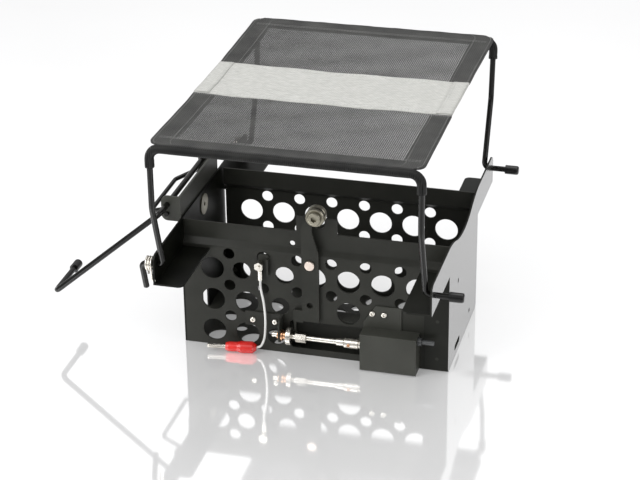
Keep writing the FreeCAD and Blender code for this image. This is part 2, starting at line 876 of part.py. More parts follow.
def make_carry_handle():
    drop = math.radians(handle_drop_deg)
    throw = Vec(-math.cos(drop), 0, -math.sin(drop)) * handle_throw
    axis = Vec(handle_axis_x, 0, handle_axis_z)
    front = bracket_front_y + bracket_sheet + handle_front_lead
    back = bracket_front_y + bracket_length - bracket_sheet - handle_back_lead
    points = [
        axis + Vec(0, bracket_front_y - handle_overhang, 0), axis + Vec(0, front, 0),
        axis + Vec(0, front + handle_front_run, 0) + throw, axis + Vec(0, back - handle_back_run, 0) + throw,
        axis + Vec(0, back, 0), axis + Vec(0, bracket_front_y + bracket_length + handle_overhang, 0),
    ]
    return bent_wire(points, [handle_bend] * 4, handle_wire)


def make_arm_cap():
    return rubber_cap(arm_end_point() + Vec(0, arm_end_leg, 0), Vec(0, 1, 0))


def make_release_lever():
    tip_z = rod_axis_z
    head_radius = lever_head_diameter / 2
    throat_x = lever_neck_right_x
    points = [
        (lever_left_x, lever_bottom_z), (lever_right_x, lever_bottom_z), (lever_right_x, lever_taper_z),
        (throat_x, lever_neck_z), (throat_x, roller_z), (roller_x - head_radius, roller_z),
        (lever_left_x, roller_z - 16),
    ]
    bar = slab([Vec(x, lever_front_y, z) for x, z in points], Vec(0, lever_thickness, 0))
    head = rod(lever_head_diameter, Vec(roller_x, lever_front_y, roller_z),
               Vec(roller_x, lever_back_y, roller_z))
    dog = box(dog_left_x, lever_left_x + 1, lever_front_y, lever_back_y, dog_bottom_z, dog_top_z)
    dog = dog.makeFillet(3.0, edges_along(
        dog, Vec(0, 1, 0), lambda p: p.x < dog_left_x + 1 and p.z > dog_top_z - 1))
    neck = box(tongue_x - tongue_neck / 2, tongue_x + tongue_neck / 2, lever_front_y, lever_back_y,
               tip_z, dog_bottom_z + 1)
    tip = rod(tongue_tip_diameter, Vec(tongue_x, lever_front_y, tip_z), Vec(tongue_x, lever_back_y, tip_z))
    body = fuse([bar, head, dog, neck, tip])
    holes = [
        (lever_pivot_x, lever_pivot_z, pivot_pin_diameter + 2 * pivot_clearance),
        (lever_pivot_x - 0.7, lever_hole_z, lever_hole_diameter),
        (roller_x, roller_z, roller_screw_diameter),
    ]
    cutters = []
    for x, z, diameter in holes:
        cutters.append(rod(diameter, Vec(x, lever_front_y - 1, z), Vec(x, lever_back_y + 1, z)))
    return body.cut(Part.makeCompound(cutters))


def make_lever_pivot():
    at = Vec(lever_pivot_x, 0, lever_pivot_z)
    front = lever_front_y - 0.4
    shank = rod(pivot_pin_diameter, at + Vec(0, front, 0), at + Vec(0, front_y + sheet + 3, 0))
    head = rod(pivot_head_diameter, at + Vec(0, front - pivot_head_height, 0), at + Vec(0, front, 0))
    head = head.makeFillet(0.8, [e for e in head.Edges if e.CenterOfMass.y < front - pivot_head_height + 0.1
                                 and e.Curve.TypeId == "Part::GeomCircle"])
    spacer = rod(pivot_head_diameter + 1, at + Vec(0, lever_back_y + 0.3, 0), at + Vec(0, front_y, 0))
    nut = hexagon(12.5, at + Vec(0, front_y + sheet, 0), at + Vec(0, front_y + sheet + 4, 0))
    return fuse([shank, head, spacer, nut])


def make_latch_roller():
    at = Vec(roller_x, 0, roller_z)
    start = at + Vec(0, lever_back_y + roller_play, 0)
    end = start + Vec(0, roller_width, 0)
    outer = rod(roller_diameter, start, end)
    rims = [e for e in outer.Edges if e.Curve.TypeId == "Part::GeomCircle"]
    outer = outer.makeChamfer(0.8, rims)
    bore = roller_screw_diameter + 2 * pivot_clearance
    return outer.cut(rod(bore, start - Vec(0, 1, 0), end + Vec(0, 1, 0)))


def make_roller_screw():
    at = Vec(roller_x, 0, roller_z)
    seat = at + Vec(0, lever_front_y, 0)
    step = seat - Vec(0, roller_head_depth, 0)
    front = step - Vec(0, roller_nose_depth, 0)
    rear = at + Vec(0, lever_back_y + 2 * roller_play + roller_width, 0)
    flange = rod(roller_diameter, step, seat)
    flange = flange.makeChamfer(0.8, [e for e in flange.Edges if e.Curve.TypeId == "Part::GeomCircle"])
    nose = rod(roller_nose_diameter, front, step)
    nose = nose.makeFillet(1.4, [e for e in nose.Edges if e.Curve.TypeId == "Part::GeomCircle"
                                 and e.CenterOfMass.y < front.y + 0.1])
    shank = rod(roller_screw_diameter, seat, rear)
    keeper = rod(roller_screw_diameter + 4, rear, rear + Vec(0, 1.6, 0))
    socket = hexagon(roller_socket, front - Vec(0, 1, 0), front + Vec(0, 3.4, 0))
    return fuse([flange, nose, shank, keeper]).cut(socket)


def on_rod(x):
    return Vec(x, rod_axis_y, rod_axis_z)


def make_push_rod():
    body = rod(rod_diameter, on_rod(rod_left_x), on_rod(rod_right_x))
    tip = [e for e in circles_of(body) if e.CenterOfMass.x < rod_left_x + 0.1]
    return body.makeChamfer(0.8, tip)


def make_stop_disc():
    disc = ring(disc_diameter, rod_diameter, on_rod(disc_left_x), on_rod(disc_right_x))
    rims = [e for e in circles_of(disc) if e.Curve.Radius > rod_diameter]
    return disc.makeFillet(0.8, rims)


def make_rod_nut():
    body = hexagon(nut_across, on_rod(nut_left_x), on_rod(nut_left_x + nut_length))
    return body.cut(rod(rod_diameter, on_rod(nut_left_x - 1), on_rod(nut_left_x + nut_length + 1)))


def make_rod_coupling():
    fitting = rod(fitting_diameter, on_rod(fitting_left_x), on_rod(coupling_left_x))
    body = rod(coupling_diameter, on_rod(coupling_left_x), on_rod(plunger_left_x))
    rims = [e for e in body.Edges if e.Curve.TypeId == "Part::GeomCircle"]
    body = fuse([fitting, body.makeChamfer(0.9, rims)])
    body = body.cut(rod(rod_diameter, on_rod(fitting_left_x - 1), on_rod(rod_right_x)))
    return body.cut(coupling_screw_solid(0.0))


def coupling_screw_solid(proud):
    x = coupling_left_x + coupling_length * 0.36
    top = Vec(x, rod_axis_y - coupling_diameter / 2 - proud, rod_axis_z)
    return rod(coupling_screw_diameter, top, Vec(x, rod_axis_y - rod_diameter / 2, rod_axis_z))


def make_coupling_screw():
    body = coupling_screw_solid(0.8)
    x = coupling_left_x + coupling_length * 0.36
    top = rod_axis_y - coupling_diameter / 2 - 0.8
    return body.cut(hexagon(2.0, Vec(x, top - 1, rod_axis_z), Vec(x, top + 1.2, rod_axis_z)))


def make_plunger():
    return rod(plunger_diameter, on_rod(plunger_left_x), on_rod(plunger_left_x + plunger_length))


def make_return_spring():
    length = solenoid_left_x - plunger_left_x - return_wire - 2 * spring_gap
    pitch = length / return_turns
    start = on_rod(plunger_left_x + spring_gap + return_wire / 2)
    edges = coil_edges(start, Vec(1, 0, 0), Vec(0, 0, 1), return_mean_diameter / 2, pitch, return_turns)
    print("return spring gap", round(coil_gap(return_mean_diameter / 2, pitch, return_wire), 2))
    return swept(edges, return_wire)


def make_guide_bracket():
    skin = front_y - sheet
    strip = box(guide_left_x, guide_tab_x + sheet, skin, front_y, guide_bottom_z, guide_top_z)
    tab = box(guide_tab_x, guide_tab_x + sheet, rod_axis_y - guide_tab_half, front_y,
              rod_axis_z - guide_tab_half, guide_top_z)
    tab = tab.makeFillet(guide_tab_half * 0.8, edges_along(
        tab, Vec(1, 0, 0), lambda p: p.y < front_y - 1))
    body = fuse([strip, tab])
    cutters = [rod(bush_diameter, on_rod(guide_tab_x - 1), on_rod(guide_tab_x + sheet + 1))]
    for x in guide_screw_xs:
        outside = Vec(x, skin - 1, guide_screw_z)
        cutters.append(rod(small_screw_shank, outside, Vec(x, front_y + 1, guide_screw_z)))
    return body.cut(Part.makeCompound(cutters))


def make_guide_bush():
    right = disc_left_x - tongue_play
    body = rod(bush_diameter, on_rod(guide_tab_x - 2), on_rod(guide_tab_x + sheet))
    flange = rod(bush_flange_diameter, on_rod(guide_tab_x + sheet), on_rod(guide_tab_x + sheet + bush_flange))
    nose = rod(bush_diameter, on_rod(guide_tab_x + sheet + bush_flange), on_rod(right))
    bore = rod(rod_diameter + 2 * rod_clearance, on_rod(guide_tab_x - 3), on_rod(right + 1))
    return fuse([body, flange, nose]).cut(bore)


def pan_screw(x, z, seat_y):
    head = rod(small_screw_head, Vec(x, seat_y - small_screw_height, z), Vec(x, seat_y, z))
    rim = [e for e in circles_of(head) if e.CenterOfMass.y < seat_y - 1]
    head = head.makeFillet(small_screw_height * 0.55, rim)
    shank = rod(small_screw_shank, Vec(x, seat_y, z), Vec(x, front_y + sheet + 3, z))
    nut = hexagon(6.0, Vec(x, front_y + sheet, z), Vec(x, front_y + sheet + 2.4, z))
    socket = hexagon(2.4, Vec(x, seat_y - small_screw_height - 1, z), Vec(x, seat_y - 1.0, z))
    return fuse([head, shank, nut]).cut(socket)


def make_guide_screws():
    return Part.makeCompound([pan_screw(x, guide_screw_z, front_y - sheet) for x in guide_screw_xs])


def make_cover_screws():
    return Part.makeCompound([pan_screw(x, cover_screw_z, front_y - cover_sheet) for x in cover_screw_x])


def make_actuator_cover():
    front = front_y - cover_depth
    shell = box(cover_left_x, cover_right_x, front, front_y, cover_bottom_z, cover_top_z)
    shell = shell.makeFillet(2.0, edges_along(
        shell, Vec(1, 0, 0), lambda p: p.y < front + 0.1 and p.z > cover_top_z - 0.1))
    hollow = box(cover_left_x + cover_sheet, cover_right_x - cover_sheet, front + cover_sheet, front_y + 1,
                 cover_bottom_z - 1, cover_top_z - cover_sheet)
    shell = shell.cut(hollow)
    flange_points = [
        (cover_left_x, cover_top_z - 1), (cover_flange_right_x, cover_top_z - 1),
        (cover_flange_right_x, cover_flange_top_z), (cover_screw_x[0] + 4, cover_flange_top_z),
        (cover_left_x, cover_top_z + 6),
    ]
    flange = slab([Vec(x, front_y - cover_sheet, z) for x, z in flange_points], Vec(0, cover_sheet, 0))
    body = fuse([shell, flange])
    cutters = [rod(cover_port_diameter, on_rod(cover_left_x - 1), on_rod(cover_left_x + cover_sheet + 1))]
    for x in cover_screw_x:
        outside = Vec(x, front_y - 5, cover_screw_z)
        cutters.append(rod(small_screw_shank, outside, Vec(x, front_y + 1, cover_screw_z)))
    socket = Vec(cover_right_x - cover_sheet - 1, rod_axis_y, connector_z)
    cutters.append(rod(connector_diameter, socket, socket + Vec(cover_sheet + 2, 0, 0)))
    return body.cut(Part.makeCompound(cutters))


def make_solenoid():
    right = solenoid_left_x + solenoid_length
    low = rod_axis_z - solenoid_height / 2
    coil_left = solenoid_left_x + 3
    yoke = box(solenoid_left_x, right, rod_axis_y - solenoid_depth / 2, front_y, low, low + solenoid_height)
    hollow = box(coil_left, right - 3, rod_axis_y - solenoid_depth, front_y + 1,
                 low + 3, low + solenoid_height - 3)
    coil = rod(solenoid_depth - 0.4, on_rod(coil_left), on_rod(right - 3))
    bore = rod(plunger_diameter + 2 * plunger_clearance, on_rod(solenoid_left_x - 1), on_rod(right - 3))
    return fuse([yoke.cut(hollow), coil]).cut(bore)


def make_lead_connector():
    start = Vec(cover_right_x - cover_sheet - 2, rod_axis_y, connector_z)
    wall = Vec(cover_right_x, rod_axis_y, connector_z)
    stem = rod(connector_diameter, start, wall + Vec(connector_length, 0, 0))
    tip = [e for e in stem.Edges if e.CenterOfMass.x > cover_right_x + connector_length - 0.1
           and e.Curve.TypeId == "Part::GeomCircle"]
    stem = stem.makeFillet(1.2, tip)
    collar = rod(connector_collar_diameter, wall, wall + Vec(connector_collar, 0, 0))
    return fuse([stem, collar])


def make_rod_shield():
    left = window_left_x - shield_margin
    right = window_right_x + shield_margin
    inner = front_y + sheet
    top = window_top_z + shield_margin
    outside = box(left, right, inner, inner + shield_depth, sheet, top)
    hollow = box(left + shield_sheet, right - shield_sheet, inner - 1, inner + shield_depth - shield_sheet,
                 sheet + shield_sheet, top - shield_sheet)
    outside = outside.makeFillet(3.0, edges_along(
        outside, Vec(1, 0, 0), lambda p: p.z > top - 0.1 and p.y > inner + 1))
    return outside.cut(hollow)


def make_lanyard_clip():
    x0 = lanyard_x - lanyard_clip_width / 2 + 3
    low = lanyard_z - lanyard_clip_height * 0.6
    plate = box(x0, x0 + lanyard_clip_width, front_y - sheet, front_y, low, low + lanyard_clip_height)
    plate = plate.makeFillet(3.0, edges_along(plate, Vec(0, 1, 0), lambda p: True))
    lip = box(x0 + lanyard_clip_width - sheet, x0 + lanyard_clip_width, front_y - sheet - lanyard_clip_depth,
              front_y - sheet / 2, low + 4, low + lanyard_clip_height - 4)
    body = fuse([plate, lip])
    outside = Vec(lanyard_x, front_y - 8, lanyard_z)
    return body.cut(rod(small_screw_shank, outside, Vec(lanyard_x, front_y + 1, lanyard_z)))


def make_lanyard_bolt():
    at = Vec(lanyard_x, 0, lanyard_z)
    eye_front = front_y - cable_from_panel[0] - eye_thickness / 2
    nut = hexagon(lanyard_nut, at + Vec(0, eye_front - lanyard_nut_height, 0), at + Vec(0, eye_front, 0))
    spacer = rod(lanyard_nut * 0.8, at + Vec(0, eye_front + eye_thickness, 0),
                 at + Vec(0, front_y - sheet, 0))
    stud = rod(small_screw_shank, at + Vec(0, eye_front - lanyard_nut_height - 1.5, 0),
               at + Vec(0, front_y + sheet + 3, 0))
    back = hexagon(6.0, at + Vec(0, front_y + sheet, 0), at + Vec(0, front_y + sheet + 2.4, 0))
    return fuse([nut, spacer, stud, back])


def pin_axis():
    turn = math.radians(pin_turn_deg)
    start = Vec(pin_start_x, front_y - pin_start_from_panel, pin_handle_diameter / 2)
    return start, Vec(-math.cos(turn), -math.sin(turn), 0)


def cable_route():
    start, along = pin_axis()
    points = [Vec(x, front_y - off, z) for x, off, z in zip(cable_x, cable_from_panel, cable_z)]
    return points + [start - along * cable_last_run, start]


def make_lanyard_crimp():
    end = cable_route()[0]
    top = Vec(end.x, end.y, end.z + crimp_length)
    body = rod(crimp_diameter, end, top)
    half_eye = Vec(0, eye_thickness / 2, 0)
    at = Vec(lanyard_x, end.y, lanyard_z)
    eye = rod(eye_diameter, at - half_eye, at + half_eye)
    neck = box(lanyard_x - crimp_diameter * 0.42, lanyard_x + crimp_diameter * 0.42, at.y - eye_thickness / 2,
               at.y + eye_thickness / 2, top.z - 1, lanyard_z)
    hole = rod(small_screw_shank, at - half_eye * 4, at + half_eye * 4)
    return fuse([body, eye, neck]).cut(hole)


def cable_edges():
    points = cable_route()
    radii = []
    for i in range(1, len(points) - 1):
        into = points[i] - points[i - 1]
        out = points[i + 1] - points[i]
        turn = into.getAngle(out)
        radii.append(0.45 * min(into.Length, out.Length) / math.tan(turn / 2))
    print("cable radii", [round(r, 1) for r in radii])
    return rounded_path(points, radii)


def make_lanyard_cable():
    edges = cable_edges()
    length = sum(e.Length for e in edges)
    solid = swept(edges, cable_diameter)
    expected = length * math.pi * cable_diameter ** 2 / 4
    print("cable length", round(length, 1), "volume ratio", round(solid.Volume / expected, 4))
    return solid


def make_pin_handle():
    start, along = pin_axis()
    shares = (0.0, 0.12, 0.5, 0.62, 0.9, 1.0)
    widths = (pin_handle_waist * 0.6, pin_handle_diameter, pin_handle_diameter, pin_handle_waist,
              pin_handle_waist, pin_handle_waist * 0.8)
    outline = [Vec(0, 0, 0)]
    for share, width in zip(shares, widths):
        outline.append(Vec(width / 2, 0, share * pin_handle_length))
    outline.append(Vec(0, 0, pin_handle_length))
    face = Part.Face(Part.makePolygon(outline + [outline[0]]))
    body = face.revolve(Vec(0, 0, 0), Vec(0, 0, 1), 360)
    body.Placement = FreeCAD.Placement(start, FreeCAD.Rotation(Vec(0, 0, 1), along))
    return body


def make_safety_pin():
    start, along = pin_axis()
    start = start + along * pin_handle_length
    end = start + along * safety_pin_length
    body = rod(safety_pin_diameter, start, end)
    tip = [e for e in circles_of(body) if (e.CenterOfMass - end).Length < 0.1]
    return body.makeFillet(1.8, tip)


os.makedirs("parts", exist_ok=True)
nodes = {
    "front_panel": make_front_panel(),
    "back_panel": make_back_panel(),
    "floor_panel": make_floor_panel(),
    "left_side_wall": make_left_wall(),
    "right_side_wall": make_right_wall(),
    "corner_rivets": make_rivets(),
    "arm_bracket": make_arm_bracket(),
    "bracket_screws": make_bracket_screws(),
    "bracket_washer": make_bracket_washer(),
    "front_hoop_wire": make_hoop(-1, front_lean_deg),
    "front_hoop_cap": make_hoop_cap(-1),
    "front_torsion_spring": make_torsion_spring(),
    "back_hoop_wire": make_hoop(1, back_lean_deg),
    "back_hoop_cap": make_hoop_cap(1),
    "back_torsion_spring": mirrored_to_back(make_torsion_spring()),
    "front_sling_mesh": make_front_sling(),
    "back_sling_mesh": make_back_sling(),
    "sling_strap": make_sling_strap(),
    "hold_down_wire": make_hold_down_arm(),
    "arm_cap": make_arm_cap(),
    "arm_retainer": make_arm_retainer(),
    "carry_handle_wire": make_carry_handle(),
    "release_lever_bar": make_release_lever(),
    "lever_pivot_pin": make_lever_pivot(),
    "latch_roller": make_latch_roller(),
    "roller_screw": make_roller_screw(),
    "push_rod_bar": make_push_rod(),
    "stop_disc": make_stop_disc(),
    "rod_nut": make_rod_nut(),
    "rod_coupling": make_rod_coupling(),
    "coupling_screw": make_coupling_screw(),
    "plunger": make_plunger(),
    "return_spring": make_return_spring(),
    "guide_bracket": make_guide_bracket(),
    "guide_bush": make_guide_bush(),
    "guide_screws": make_guide_screws(),
    "actuator_cover": make_actuator_cover(),
    "cover_screws": make_cover_screws(),
    "solenoid": make_solenoid(),
    "lead_connector": make_lead_connector(),
    "rod_shield": make_rod_shield(),
    "lanyard_clip": make_lanyard_clip(),
    "lanyard_bolt": make_lanyard_bolt(),
    "lanyard_crimp": make_lanyard_crimp(),
    "lanyard_cable": make_lanyard_cable(),
    "pin_handle": make_pin_handle(),
    "safety_pin": make_safety_pin(),
}
for name, shape in nodes.items():
    if not shape.isValid():
        print("not valid:", name)
    print(name, len(shape.Solids), round(shape.Volume, 1))
    shape.exportStep("parts/" + name + ".step")
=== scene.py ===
import json
import math
import bpy
import bmesh
from mathutils import Matrix, Vector


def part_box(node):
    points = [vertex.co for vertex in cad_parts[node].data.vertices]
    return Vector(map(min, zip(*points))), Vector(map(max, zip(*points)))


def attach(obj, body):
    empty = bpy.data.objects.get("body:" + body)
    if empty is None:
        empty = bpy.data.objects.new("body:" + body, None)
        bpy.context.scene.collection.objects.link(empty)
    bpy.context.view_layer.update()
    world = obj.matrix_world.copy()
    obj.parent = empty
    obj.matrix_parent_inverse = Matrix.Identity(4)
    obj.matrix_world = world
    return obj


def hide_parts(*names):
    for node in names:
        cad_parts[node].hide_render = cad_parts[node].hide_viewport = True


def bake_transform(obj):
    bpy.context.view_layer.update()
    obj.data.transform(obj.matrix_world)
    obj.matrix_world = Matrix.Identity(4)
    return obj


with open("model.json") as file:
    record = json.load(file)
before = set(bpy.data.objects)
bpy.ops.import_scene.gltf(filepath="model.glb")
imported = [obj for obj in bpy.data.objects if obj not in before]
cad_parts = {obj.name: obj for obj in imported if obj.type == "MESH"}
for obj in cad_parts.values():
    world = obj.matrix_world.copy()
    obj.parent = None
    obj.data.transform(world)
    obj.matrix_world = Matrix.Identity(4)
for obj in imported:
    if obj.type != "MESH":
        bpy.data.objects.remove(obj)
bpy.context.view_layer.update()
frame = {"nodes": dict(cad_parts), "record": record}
nodes = frame["nodes"]
mm = 0.001
print("stage: frame loaded")


def newMaterial(name):
    mat = bpy.data.materials.new(name)
    mat.use_nodes = True
    tree = mat.node_tree
    shader = tree.nodes["Principled BSDF"]
    return mat, tree, shader


def objectCoords(tree, stretch=(1, 1, 1)):
    coords = tree.nodes.new("ShaderNodeTexCoord")
    mapping = tree.nodes.new("ShaderNodeMapping")
    mapping.inputs["Scale"].default_value = stretch
    tree.links.new(coords.outputs["Object"], mapping.inputs["Vector"])
    return mapping.outputs["Vector"]


def noiseNode(tree, vector, scale, detail=3.0):
    noise = tree.nodes.new("ShaderNodeTexNoise")
    noise.inputs["Scale"].default_value = scale
    noise.inputs["Detail"].default_value = detail
    tree.links.new(vector, noise.inputs["Vector"])
    return noise.outputs["Fac"]


def rampNode(tree, value, low, high, start=0.3, stop=0.7):
    ramp = tree.nodes.new("ShaderNodeValToRGB")
    ramp.color_ramp.elements[0].position = start
    ramp.color_ramp.elements[1].position = stop
    ramp.color_ramp.elements[0].color = (*low, 1)
    ramp.color_ramp.elements[1].color = (*high, 1)
    tree.links.new(value, ramp.inputs["Fac"])
    return ramp.outputs["Color"]


def rangeNode(tree, value, low, high):
    ranger = tree.nodes.new("ShaderNodeMapRange")
    ranger.inputs["To Min"].default_value = low
    ranger.inputs["To Max"].default_value = high
    tree.links.new(value, ranger.inputs["Value"])
    return ranger.outputs["Result"]


def mathNode(tree, operation, first, second=None):
    node = tree.nodes.new("ShaderNodeMath")
    node.operation = operation
    for socket, value in zip(node.inputs, (first, second)):
        if value is None:
            continue
        if isinstance(value, (int, float)):
            socket.default_value = value
        else:
            tree.links.new(value, socket)
    return node.outputs[0]


def bumpNode(tree, shader, height, strength, distance):
    bump = tree.nodes.new("ShaderNodeBump")
    bump.inputs["Strength"].default_value = strength
    bump.inputs["Distance"].default_value = distance
    tree.links.new(height, bump.inputs["Height"])
    tree.links.new(bump.outputs["Normal"], shader.inputs["Normal"])


def coated(name, dark, light, rough, grain, bumpHeight, coat=0.0, ior=1.5):
    cloudScale, cloudDetail, grainDetail = 28.0, 4.0, 2.0
    bumpStrength, coatRough = 0.35, 0.22
    mat, tree, shader = newMaterial(name)
    vector = objectCoords(tree)
    cloud = noiseNode(tree, vector, cloudScale, cloudDetail)
    fine = noiseNode(tree, vector, grain, grainDetail)
    tree.links.new(rampNode(tree, cloud, dark, light), shader.inputs["Base Color"])
    tree.links.new(rangeNode(tree, fine, rough[0], rough[1]), shader.inputs["Roughness"])
    bumpNode(tree, shader, fine, bumpStrength, bumpHeight)
    shader.inputs["IOR"].default_value = ior
    shader.inputs["Coat Weight"].default_value = coat
    shader.inputs["Coat Roughness"].default_value = coatRough
    return mat


def metal(name, dark, light, rough, stretch, grain):
    cloudScale, streakDetail = 60.0, 4.0
    bumpStrength, bumpHeight = 0.2, 0.00008
    mat, tree, shader = newMaterial(name)
    vector = objectCoords(tree, stretch)
    streak = noiseNode(tree, vector, grain, streakDetail)
    cloud = noiseNode(tree, objectCoords(tree), cloudScale)
    tree.links.new(rampNode(tree, cloud, dark, light), shader.inputs["Base Color"])
    tree.links.new(rangeNode(tree, streak, rough[0], rough[1]), shader.inputs["Roughness"])
    bumpNode(tree, shader, streak, bumpStrength, bumpHeight)
    shader.inputs["Metallic"].default_value = 1.0
    return mat


def threadHeight(tree, coordinate, pitch):
    turns = mathNode(tree, "MULTIPLY", coordinate, math.pi / pitch)
    return mathNode(tree, "ABSOLUTE", mathNode(tree, "SINE", turns))


def wovenMesh(name, openness, dark, light, ior=1.5):
    pitch = 0.0021
    cloudScale, cloudDetail, fibreScale = 45.0, 4.0, 900.0
    rough = (0.42, 0.62)
    bumpStrength, bumpHeight = 0.6, 0.0006
    mat, tree, shader = newMaterial(name)
    shader.inputs["IOR"].default_value = ior
    vector = objectCoords(tree)
    split = tree.nodes.new("ShaderNodeSeparateXYZ")
    tree.links.new(vector, split.inputs[0])
    acrossThread = threadHeight(tree, split.outputs["X"], pitch)
    alongThread = threadHeight(tree, split.outputs["Y"], pitch)
    weave = mathNode(tree, "MINIMUM", acrossThread, alongThread)
    hole = mathNode(tree, "GREATER_THAN", weave, openness)
    cloud = noiseNode(tree, vector, cloudScale, cloudDetail)
    fibre = noiseNode(tree, vector, fibreScale)
    tree.links.new(rampNode(tree, cloud, dark, light), shader.inputs["Base Color"])
    tree.links.new(rangeNode(tree, fibre, rough[0], rough[1]), shader.inputs["Roughness"])
    bumpNode(tree, shader, mathNode(tree, "MULTIPLY", weave, -1.0), bumpStrength, bumpHeight)
    tree.links.new(mathNode(tree, "SUBTRACT", 1.0, hole), shader.inputs["Alpha"])
    return mat


def wovenBand(name, dark, light):
    pitchAcross, pitchAlong = 0.0016, 0.0016 * 0.8
    fibreStretch, fibreScale, fibreDetail = (0.35, 1.6, 1), 420.0, 4.0
    weaveShare, fibreShare = 0.35, 0.65
    rough = (0.7, 0.9)
    bumpStrength, bumpHeight = 0.5, 0.0005
    mat, tree, shader = newMaterial(name)
    vector = objectCoords(tree)
    split = tree.nodes.new("ShaderNodeSeparateXYZ")
    tree.links.new(vector, split.inputs[0])
    acrossThread = threadHeight(tree, split.outputs["X"], pitchAcross)
    alongThread = threadHeight(tree, split.outputs["Y"], pitchAlong)
    weave = mathNode(tree, "MULTIPLY", acrossThread, alongThread)
    fibre = noiseNode(tree, objectCoords(tree, fibreStretch), fibreScale, fibreDetail)
    weaveTone = mathNode(tree, "MULTIPLY", weave, weaveShare)
    tone = mathNode(tree, "ADD", weaveTone, mathNode(tree, "MULTIPLY", fibre, fibreShare))
    tree.links.new(rampNode(tree, tone, dark, light, 0.25, 0.75), shader.inputs["Base Color"])
    tree.links.new(rangeNode(tree, fibre, rough[0], rough[1]), shader.inputs["Roughness"])
    bumpNode(tree, shader, weave, bumpStrength, bumpHeight)
    shader.inputs["Sheen Weight"].default_value = 0.25
    return mat


looks = {
    "black_coat": coated("blackCoat", dark=(0.021, 0.0215, 0.018), light=(0.029, 0.0295, 0.025), rough=(0.36, 0.50),
                         grain=1500.0, bumpHeight=0.00012, coat=0.03, ior=1.24),
    "dark_wire": coated("darkWire", dark=(0.003, 0.003, 0.003), light=(0.007, 0.007, 0.006), rough=(0.08, 0.14),
                        grain=900.0, bumpHeight=0.00002, ior=1.34),
    "black_rubber": coated("blackRubber", dark=(0.003, 0.003, 0.003), light=(0.006, 0.006, 0.006), rough=(0.06, 0.11),
                           grain=700.0, bumpHeight=0.00001, ior=1.36),
    "coil": coated("coilPlastic", dark=(0.030, 0.030, 0.032), light=(0.05, 0.05, 0.05), rough=(0.5, 0.65),
                   grain=800.0, bumpHeight=0.0001),
    "grey_lead": coated("leadBoot", dark=(0.035, 0.037, 0.038), light=(0.075, 0.078, 0.08), rough=(0.3, 0.45),
                        grain=800.0, bumpHeight=0.0001),
    "bright_steel": metal("brightSteel", dark=(0.56, 0.53, 0.48), light=(0.80, 0.77, 0.71), rough=(0.16, 0.34),
                          stretch=(1, 14, 14), grain=220.0),
    "roller_steel": metal("rollerSteel", dark=(0.17, 0.16, 0.125), light=(0.34, 0.32, 0.26), rough=(0.22, 0.42),
                          stretch=(14, 1, 14), grain=160.0),
    "pin_steel": metal("pinSteel", dark=(0.58, 0.49, 0.43), light=(0.74, 0.65, 0.58), rough=(0.34, 0.5),
                       stretch=(14, 1, 14), grain=160.0),
    "copper": metal("bronze", dark=(0.50, 0.27, 0.15), light=(0.78, 0.48, 0.30), rough=(0.2, 0.36),
                    stretch=(1, 10, 10), grain=200.0),
    "sling_mesh": wovenMesh("slingMesh", openness=0.73, dark=(0.020, 0.020, 0.019), light=(0.050, 0.050, 0.047)),
    "sling_band": wovenBand("slingBand", dark=(0.26, 0.26, 0.243), light=(0.54, 0.54, 0.512)),
    "cable": coated("cableSleeve", dark=(0.62, 0.62, 0.60), light=(0.80, 0.80, 0.78), rough=(0.3, 0.42),
                    grain=600.0, bumpHeight=0.00005),
    "red_grip": coated("redGrip", dark=(0.52, 0.008, 0.006), light=(0.72, 0.018, 0.012), rough=(0.2, 0.3),
                       grain=90.0, bumpHeight=0.00002, coat=0.4),
}


def polishedFace(mat):
    faceX, coatIor = 0.1488, 2.9
    tree = mat.node_tree
    shader = tree.nodes["Principled BSDF"]
    split = tree.nodes.new("ShaderNodeSeparateXYZ")
    tree.links.new(objectCoords(tree), split.inputs[0])
    onFace = mathNode(tree, "GREATER_THAN", split.outputs["X"], faceX)  # only the wall's outer face is polished
    tree.links.new(onFace, shader.inputs["Coat Weight"])
    shader.inputs["Coat IOR"].default_value = coatIor
    return mat


# painted shade: the right wall's base colour is a darker copy of the black coat; its outer face also gets a polished
# coat layer
shadedPolishedCoat = polishedFace(coated("shadedWallCoat", dark=(0.010, 0.0105, 0.0085), light=(0.015, 0.0155, 0.013),
                                   rough=(0.30, 0.42), grain=1500.0, bumpHeight=0.00005, coat=1.0, ior=1.22))
# painted shade: a darker copy of the black coat for the shadowed left wall
paintedShadeCoat = coated("paintedShadeCoat", dark=(0.003, 0.0032, 0.0024), light=(0.007, 0.0075, 0.0054), rough=(0.30, 0.42),
                  grain=1500.0, bumpHeight=0.00012, coat=0.03, ior=1.2)
# painted light: a lighter copy of the black coat for the lit bracket and cover
paintedLightCoat = coated("paintedLightCoat", dark=(0.036, 0.037, 0.031), light=(0.048, 0.049, 0.042), rough=(0.36, 0.50),
                  grain=1500.0, bumpHeight=0.00012, coat=0.03, ior=1.3)
nodeLooks = {  # shaded and lit copies of the same black coat: painted shade on the left and right walls, painted light on the bracket and cover; the right wall's outer face also gets a polished coat layer
    "right_side_wall": shadedPolishedCoat,
    "left_side_wall": paintedShadeCoat,
    "arm_bracket": paintedLightCoat,
    "actuator_cover": paintedLightCoat,
}
hemMesh = wovenMesh("hemMesh", openness=0.86, dark=(0.016, 0.016, 0.016), light=(0.042, 0.042, 0.040))
sleeveMesh = wovenMesh("sleeveMesh", openness=0.9, dark=(0.005, 0.005, 0.005), light=(0.016, 0.016, 0.015), ior=1.3)
threadLook = coated("stitchThread", dark=(0.10, 0.10, 0.10), light=(0.20, 0.20, 0.19), rough=(0.6, 0.8),
                    grain=900.0, bumpHeight=0.00005)
paleThread = coated("paleThread", dark=(0.42, 0.42, 0.40), light=(0.60, 0.60, 0.58), rough=(0.6, 0.8),
                    grain=900.0, bumpHeight=0.00005)
for subpart in frame["record"]["subparts"]:
    owner = nodes[subpart["node"]]
    look = nodeLooks.get(subpart["node"], looks[subpart["material_slot"]])
    if not owner.material_slots:
        owner.data.materials.append(look)
    for slot in owner.material_slots:
        slot.material = look
print("stage: materials")


